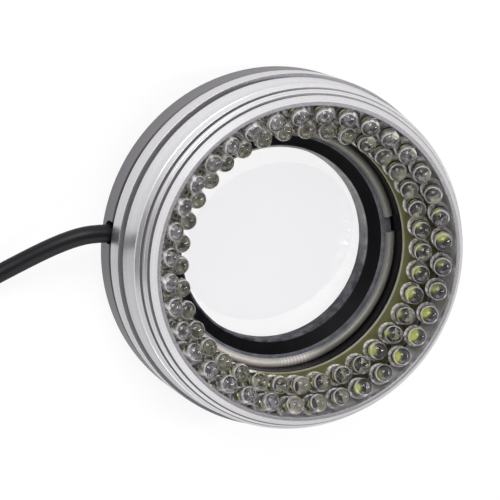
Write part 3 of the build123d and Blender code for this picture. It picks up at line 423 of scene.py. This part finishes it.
def lead_metal(name, row):
    """Tinned leads of a row: bright posts, with the cup and the head that carries it gone dull."""
    f = Finish(name, (158, 158, 160), Metallic=1.0, Roughness=0.3)
    along, off_axis = f.lamp_place(row)[2:]
    grain = f.noise(3.0, 3.0)
    head = along.rise(2.4, 2.9) * off_axis.fall(0.9, 1.1)
    bright = f.mix(grain, (158, 154, 132), (214, 209, 186))
    dull = f.mix(grain, (40, 40, 44), (74, 73, 78))
    f.set("Base Color", f.mix(head, bright, dull))
    f.set("Roughness", 0.3 + grain * 0.15)
    f.bump(grain, 0.01)
    return f.material


def phosphor_fill(name, row):
    """Yellow fill of a row's cups, brighter in some lamps than in others and browner at the rim."""
    f = Finish(name, (180, 184, 78), Roughness=0.6)
    off_axis = f.lamp_place(row)[-1]
    grain = f.noise(5.0, 2.0)
    batch = f.noise(0.21, 1.0).rise(0.36, 0.6)
    dull = f.mix(grain, (104, 108, 50), (136, 138, 78))
    bright = f.mix(grain, (190, 198, 66), (220, 225, 112))
    f.set("Base Color", f.mix(off_axis.rise(0.32, 0.5), f.mix(batch, dull, bright), (74, 74, 46)))
    f.bump(grain, 0.03)
    return f.material


def board_laminate():
    """Green solder mask above and below, pale laminate at the cut edges."""
    f = Finish("board_green", (84, 88, 58), Roughness=0.35)
    weave = f.node("ShaderNodeTexChecker", {}, {"Vector": f.place, "Scale": 1.6}, "Fac")
    cloud = f.noise(0.5, 3.0)
    mask = f.mix(cloud * 0.6 + weave * 0.15, (96, 98, 62), (140, 136, 98))
    # The board reaches from a radius of 33.4 mm to 43.4 mm
    cut_edge = 1.0 - f.reach.rise(33.42, 33.5) * f.reach.fall(43.3, 43.38)
    f.set("Base Color", f.mix(cut_edge, mask, (178, 176, 150)))
    f.set("Roughness", 0.3 + cut_edge * 0.4)
    f.bump(cloud, 0.02)
    return f.material


def moulded(name, dark, light, gloss, depth=0.02, grain_per_mm=6.0, sheen=0.5):
    """Moulded plastic or rubber with a fine grain."""
    f = Finish(name, light, Roughness=gloss, Specular_IOR_Level=sheen)
    grain = f.noise(grain_per_mm, 3.0, 0.6)
    cloud = f.noise(0.2, 3.0, 0.6)
    f.set("Base Color", f.mix(cloud, dark, light))
    f.set("Roughness", gloss - 0.05 + grain * 0.2)
    f.bump(grain, depth)
    return f.material


# ---------------------------------------------------------------- finishes of the CAD's nodes

steel = screw_steel()
brass = plated("brass_turned", (168, 132, 66), (200, 164, 92))
NODE_FINISHES = {
    "back_cover": anodised_grey(),
    "cover_screws": steel,
    "bore_sleeve": gloss_sleeve(),
    "sleeve_screws": steel,
    "lens_adapter": adapter_black(),
    "collar_screws": steel,
    "window_glass": clear_window(),
    "glass_retainer": anodised_black(),
    "inner_lead_frames": lead_metal("inner_lead_tinned", INNER_ROW),
    "outer_lead_frames": lead_metal("outer_lead_tinned", OUTER_ROW),
    "inner_phosphors": phosphor_fill("inner_phosphor", INNER_ROW),
    "outer_phosphors": phosphor_fill("outer_phosphor", OUTER_ROW),
    "led_board": board_laminate(),
    "board_spacers": brass,
    "board_screws": steel,
    "solder_joints": plated("solder", (158, 160, 164), (196, 198, 202), 0.28, depth=0.03),
    "resistors": moulded("resistor_black", (22, 22, 24), (34, 34, 36), 0.4),
    "cord_clamp": moulded("clamp_black", (24, 24, 26), (34, 34, 37), 0.45),
    "clamp_screws": steel,
    "supply_wire_red": moulded("wire_red", (150, 20, 18), (176, 30, 26), 0.4),
    "supply_wire_black": moulded("wire_black", (22, 22, 24), (32, 32, 34), 0.4),
    "coil_ties": moulded("tie_black", (20, 20, 22), (30, 30, 33), 0.35),
    "plug_body": moulded("plug_plastic", (24, 24, 26), (34, 34, 37), 0.5, 0.03),
    "plug_barrel": plated("plug_metal", (170, 168, 164), (205, 203, 198), 0.2),
    "plug_insulator": moulded("plug_insulator", (16, 16, 18), (26, 26, 28), 0.35),
    "plug_contact": brass,
}
for node_name, material in NODE_FINISHES.items():
    nodes[node_name].data.materials.clear()
    nodes[node_name].data.materials.append(material)


# ---------------------------------------------------------------- cord

# Places of the cord's middle line, in millimetres, as in the CAD's route
CORD_ROUTE = [
    (-39.3, -0.15, 13.15), (-49.2, -0.15, 13.15), (-58.5, -3.24, 11.36), (-73.0, -13.99, 5.47),
    (-88.8, -25.2, 3.15), (-103.9, -35.0, 3.15),
]
CORD_TAIL = [
    (-159.83, 8.31, 8.65), (-157.33, 15.91, 8.65), (-150.63, 25.77, 7.35), (-141.46, 33.15, 5.0),
    (-133.1, 36.49, 5.0),
]
COIL_MIDDLE = (-128.2, -8.16)
COIL_OUTER = 35.75
COIL_INNER = 19.25
COIL_PITCH = 5.5
COIL_START = 304.38
COIL_LOW = 3.15
COIL_HIGH = 8.65
POINTS_IN_TURN = 16
TURNS_IN = 3.0
TURNS_UP = 0.5
TURNS_OUT = 2.9


def coil_points():
    """Points of the coil: inwards on the floor, half a turn up, and outwards on top."""
    # The cord cuts inside its points, so they stand a little further out than the turns
    outside_turn = 1.0 + 0.5 * (pi / POINTS_IN_TURN) ** 2
    points = []
    for step in range(1, int((TURNS_IN + TURNS_UP + TURNS_OUT) * POINTS_IN_TURN) + 1):
        turn = step / POINTS_IN_TURN
        if turn <= TURNS_IN:
            radius, height = COIL_OUTER - COIL_PITCH * turn, COIL_LOW
        elif turn <= TURNS_IN + TURNS_UP:
            climb = (turn - TURNS_IN) / TURNS_UP
            radius = COIL_INNER
            height = COIL_LOW + (COIL_HIGH - COIL_LOW) * climb * climb * (3 - 2 * climb)
        else:
            radius, height = COIL_INNER + COIL_PITCH * (turn - TURNS_IN - TURNS_UP), COIL_HIGH
        radius *= outside_turn
        angle = radians(COIL_START - 360.0 * turn)
        points.append((COIL_MIDDLE[0] + radius * cos(angle),
                       COIL_MIDDLE[1] + radius * sin(angle), height))
    return points


def supply_cord():
    """The cord from the cover's notch, through its coil, to the plug."""
    line = bpy.data.curves.new("supply_cord", "CURVE")
    line.dimensions = "3D"
    route = CORD_ROUTE + coil_points() + CORD_TAIL
    spline = line.splines.new("NURBS")
    spline.points.add(len(route) - 1)
    for point, (x, y, z) in zip(spline.points, route):
        point.co = (x * MM, y * MM, z * MM, 1.0)
    spline.order_u = 3
    spline.use_endpoint_u = True
    line.resolution_u = 6
    line.bevel_depth = CORD_DIAMETER / 2 * MM
    line.bevel_resolution = 6
    line.use_fill_caps = True
    cord = bpy.data.objects.new("supply_cord", line)
    bpy.context.scene.collection.objects.link(cord)
    line.materials.append(
        moulded("cord_jacket", (10, 9, 13), (18, 17, 22), 0.36, 0.012, grain_per_mm=5.0, sheen=0.26))
    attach(cord, "lamp_head")
    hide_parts("cord_lead", "cord_coil", "cord_tail")
    x, y, z = CORD_ROUTE[0]
    x * MM
    y * MM
    z * MM


supply_cord()


# ---------------------------------------------------------------- the way to model

CLOSE_POINTS = 0.002 * MM


def nothing_selected():
    """Leave edit mode and deselect everything."""
    if bpy.context.object and bpy.context.object.mode != "OBJECT":
        bpy.ops.object.mode_set(mode="OBJECT")
    bpy.ops.object.select_all(action="DESELECT")


def start_piece(name):
    """Name the primitive just added, put its place in its mesh, and select all of it in edit mode."""
    piece = bpy.context.object
    piece.name = piece.data.name = name
    bpy.ops.object.transform_apply(location=True, rotation=True, scale=True)
    bpy.ops.object.mode_set(mode="EDIT")
    bpy.ops.mesh.select_all(action="SELECT")
    return piece


def close_mesh():
    """Join what lies together, point the faces outwards, and leave edit mode."""
    bpy.ops.mesh.select_all(action="SELECT")
    bpy.ops.mesh.remove_doubles(threshold=CLOSE_POINTS)
    bpy.ops.mesh.normals_make_consistent(inside=False)
    bpy.ops.object.mode_set(mode="OBJECT")


def turned(name, outline, steps):
    """Piece turned from an outline of radii and heights in millimetres."""
    nothing_selected()
    radius, height = outline[0]
    bpy.ops.mesh.primitive_circle_add(vertices=steps, radius=radius * MM, location=(0, 0, height * MM))
    piece = start_piece(name)
    for next_radius, next_height in outline[1:]:
        bpy.ops.mesh.extrude_region_move(
            TRANSFORM_OT_translate={"value": (0, 0, (next_height - height) * MM)})
        share = next_radius / radius
        bpy.ops.transform.resize(value=(share, share, 1))
        radius, height = next_radius, next_height
    close_mesh()
    return piece


def edges_broken(piece, width, sharper_than):
    """Edges sharper than the angle broken by a width in millimetres, and shading smooth."""
    bpy.ops.object.shade_smooth()
    bevel = piece.modifiers.new("broken_edges", "BEVEL")
    bevel.width = width * MM
    bevel.segments = 2
    bevel.limit_method = "ANGLE"
    bevel.angle_limit = radians(sharper_than)
    bevel.harden_normals = True
    bpy.ops.object.modifier_apply(modifier=bevel.name)


def fitted(piece, material, node):
    """Give a piece its finish and put it on the lamp head instead of a CAD node."""
    piece.data.materials.clear()
    piece.data.materials.append(material)
    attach(piece, "lamp_head")
    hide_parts(node)


# ---------------------------------------------------------------- housing and ring

def bowed(start, end, bow, steps=6):
    """Points between two places of an outline, drawn in by the bow at the middle."""
    points = []
    for step in range(1, steps):
        share = step / steps
        points.append((start[0] + (end[0] - start[0]) * share - bow * 4 * share * (1 - share),
                       start[1] + (end[1] - start[1]) * share))
    return points


def housing():
    """Housing turned from the bar: band, groove, waist, fine line, two grooves, front and hollow."""
    waist_start, waist_end = (47.0, 25.0), (46.32, 32.4)
    outline = [
        (48.0, 17.3), (47.9, 23.4),
        (46.1, 23.4), (46.1, 25.0),
        waist_start, *bowed(waist_start, waist_end, 0.22), waist_end,
        (45.98, 32.65), (46.23, 32.9), (45.5, 34.5),
        (44.2, 34.5), (44.2, 35.55),
        (45.1, 35.55), (44.8, 36.24), (44.6, 36.35), (44.69, 36.48), (44.35, 37.2),
        (43.3, 37.2), (43.3, 38.1),
        (43.85, 38.1), (42.25, 39.95), (41.53, 39.95), (41.35, 39.77), (41.35, 38.35),
        (43.9, 32.9), (43.9, 17.3), (48.0, 17.3),
    ]
    piece = turned("housing_shell", outline, steps=256)
    edges_broken(piece, 0.09, sharper_than=25)
    fitted(piece, turned_silver(), "housing")


def retaining_ring():
    """Open wire ring, spun round from one end to the other."""
    half_gap = asin(WIRE_GAP / 2 / WIRE_REACH)
    start = radians(WIRE_GAP_DIRECTION) + half_gap
    nothing_selected()
    bpy.ops.mesh.primitive_circle_add(
        vertices=28, radius=WIRE_RADIUS * MM, fill_type="NGON",
        location=(WIRE_REACH * MM * cos(start), WIRE_REACH * MM * sin(start), WIRE_HEIGHT * MM),
        rotation=(pi / 2, 0, start))
    piece = start_piece("wire_ring")
    bpy.ops.mesh.spin(steps=200, angle=2 * (pi - half_gap),
                      center=(0, 0, WIRE_HEIGHT * MM), axis=(0, 0, 1))
    close_mesh()
    edges_broken(piece, 0.12, sharper_than=60)
    fitted(piece, ring_steel(), "retaining_ring")


housing()
retaining_ring()


# ---------------------------------------------------------------- lamps

OUT_OF_TRUE = 1.6


def lamp_lens():
    """One clear lamp standing at the origin with its axis up."""
    dome_steps = 12
    outline = [(0.4, 0.0), (FLANGE_RADIUS, 0.0), (FLANGE_RADIUS, FLANGE_HEIGHT),
               (LENS_RADIUS, FLANGE_HEIGHT), (LENS_RADIUS, LENS_BODY)]
    for step in range(1, dome_steps):
        turn = radians(90 * step / dome_steps)
        outline.append((LENS_RADIUS * cos(turn), LENS_BODY + LENS_RADIUS * sin(turn)))
    piece = turned("lamp_lens", outline, steps=36)
    # Close the foot's middle and the dome's top
    bpy.ops.object.mode_set(mode="EDIT")
    bpy.ops.mesh.select_all(action="DESELECT")
    bpy.ops.mesh.select_non_manifold()
    bpy.ops.mesh.edge_face_add()
    bpy.ops.mesh.select_all(action="DESELECT")
    bpy.ops.object.mode_set(mode="OBJECT")
    return piece


def lamp_row(lamp, name, node, row, material, seed):
    """A row of lamps leaning inwards, each a little out of true, joined into one piece."""
    reach, height, lean, first = row
    foot_reach = reach + LENS_BODY * sin(radians(lean))
    foot_height = height - LENS_BODY * cos(radians(lean))
    chance = Random(seed)
    nothing_selected()
    copies = []
    for index in range(LAMPS_IN_ROW):
        turn = radians(first + 360.0 * index / LAMPS_IN_ROW)
        copy = lamp.copy()
        copy.data = lamp.data.copy()
        bpy.context.scene.collection.objects.link(copy)
        foot = Vector((cos(turn) * foot_reach, sin(turn) * foot_reach, foot_height)) * MM
        leaning = radians(lean + chance.uniform(-OUT_OF_TRUE, OUT_OF_TRUE))
        sideways = radians(chance.uniform(-OUT_OF_TRUE, OUT_OF_TRUE))
        copy.data.transform(
            Matrix.Translation(foot) @ Matrix.Rotation(turn, 4, "Z")
            @ Matrix.Rotation(-leaning, 4, "Y") @ Matrix.Rotation(sideways, 4, "X"))
        copy.select_set(True)
        copies.append(copy)
    bpy.context.view_layer.objects.active = copies[0]
    bpy.ops.object.join()
    piece = bpy.context.object
    piece.name = piece.data.name = name
    bpy.ops.object.shade_smooth_by_angle(angle=radians(40))
    fitted(piece, material, node)


model_lamp = lamp_lens()
# Each row's last two colours are the painted shade and painted light under its feet
lamp_row(model_lamp, "inner_lamp_lenses", "inner_lamps", INNER_ROW,
         lamp_epoxy("inner_lamp_clear", INNER_ROW, (40, 38, 28), (224, 222, 188)), seed=11)
lamp_row(model_lamp, "outer_lamp_lenses", "outer_lamps", OUTER_ROW,
         lamp_epoxy("outer_lamp_clear", OUTER_ROW, (66, 62, 67), (250, 243, 250)), seed=12)
bpy.data.objects.remove(model_lamp)


# ---------------------------------------------------------------- floor and light

WHITE = (255, 255, 255)
# Shares of the light that the floor gives back: where it is seen, and where it only lights the object
SEEN_FLOOR = (0.2, 0.2, 0.2, 1)
LIGHTING_FLOOR = (0.8, 0.8, 0.8, 1)
# Lamp: place and width and height in metres, power in watts
STUDIO_LAMPS = {
    "key_lamp": ((-0.55, 0.75, 0.95), 0.7, 0.7, 9.0),
    "fill_lamp": ((-0.2, -1.0, 0.6), 0.8, 0.8, 4.0),
    "strip_lamp": ((0.63, 0.18, 0.76), 0.1, 0.6, 2.6),
}
AIMED_AT = Vector((0, 0, 0.02))


def ray_kinds(tree):
    """1 for a ray from the camera, from gloss, and through glass, and 0 for any other."""
    path = tree.nodes.new("ShaderNodeLightPath")
    return (Wire(tree, path.outputs[name]) for name in (
        "Is Camera Ray", "Is Glossy Ray", "Is Transmission Ray"))


def floor_material():
    """White floor that keeps the light's shadow; metal sees it paler towards the back left."""
    material = bpy.data.materials.new("white_floor")
    material.use_nodes = True
    tree = material.node_tree
    tree.nodes.clear()
    camera, glossy, through = ray_kinds(tree)
    place = add_node(tree, "ShaderNodeTexCoord", {}, {}, "Object")
    x, y = (add_node(tree, "ShaderNodeSeparateXYZ", {}, {0: place}, axis) for axis in range(2))
    reach = (x * x + y * y).root()
    pale = radians(110.0)
    towards_pale = ((x * cos(pale) + y * sin(pale)) / reach).most(0.05) * reach.rise(0.0525, 0.058)
    # A ray through glass counts as glossy too
    mirrored = glossy * (1.0 - through)
    glow = camera * 0.82 + through * 0.9 + mirrored * (0.52 + towards_pale * 0.36)
    seen = (camera + through + glossy).clamp()
    shadowed = add_node(tree, "ShaderNodeBsdfDiffuse", {}, {"Color": SEEN_FLOOR})
    glowing = add_node(tree, "ShaderNodeEmission", {}, {"Color": WHITE, "Strength": glow})
    shown = add_node(tree, "ShaderNodeAddShader", {}, {0: shadowed, 1: glowing})
    plain = add_node(tree, "ShaderNodeBsdfDiffuse", {}, {"Color": LIGHTING_FLOOR})
    mixed = add_node(tree, "ShaderNodeMixShader", {}, {0: seen, 1: plain, 2: shown})
    add_node(tree, "ShaderNodeOutputMaterial", {}, {"Surface": mixed})
    return material


def white_room():
    """World that lights softly and shows white, but for a darker ceiling straight above."""
    world = bpy.data.worlds.new("studio")
    bpy.context.scene.world = world
    world.use_nodes = True
    tree = world.node_tree
    tree.nodes.clear()
    camera, glossy, through = ray_kinds(tree)
    seen = (camera + glossy + through).clamp()
    way = add_node(tree, "ShaderNodeTexCoord", {}, {}, "Generated")
    ceiling = add_node(tree, "ShaderNodeSeparateXYZ", {}, {0: way}, 2).rise(0.5, 0.93)
    strength = 0.6 + seen * (0.4 - ceiling * 0.72)
    background = add_node(tree, "ShaderNodeBackground", {}, {"Color": WHITE, "Strength": strength})
    add_node(tree, "ShaderNodeOutputWorld", {}, {"Surface": background})


def studio():
    """White floor and room with three soft lamps."""
    nothing_selected()
    bpy.ops.mesh.primitive_plane_add(size=6.0, location=(0, 0, -0.1 * MM))
    floor = bpy.context.object
    floor.name = "floor"
    bpy.ops.object.transform_apply(location=True, rotation=True, scale=True)
    floor.data.materials.append(floor_material())
    white_room()
    for name, (place, width, height, power) in STUDIO_LAMPS.items():
        data = bpy.data.lights.new(name, "AREA")
        data.shape = "RECTANGLE"
        data.size = width
        data.size_y = height
        data.energy = power
        light = bpy.data.objects.new(name, data)
        bpy.context.scene.collection.objects.link(light)
        light.location = place
        light.rotation_euler = (AIMED_AT - light.location).to_track_quat("-Z", "Y").to_euler()
    bpy.context.scene.view_settings.view_transform = "Standard"


studio()

bpy.context.view_layer.update()
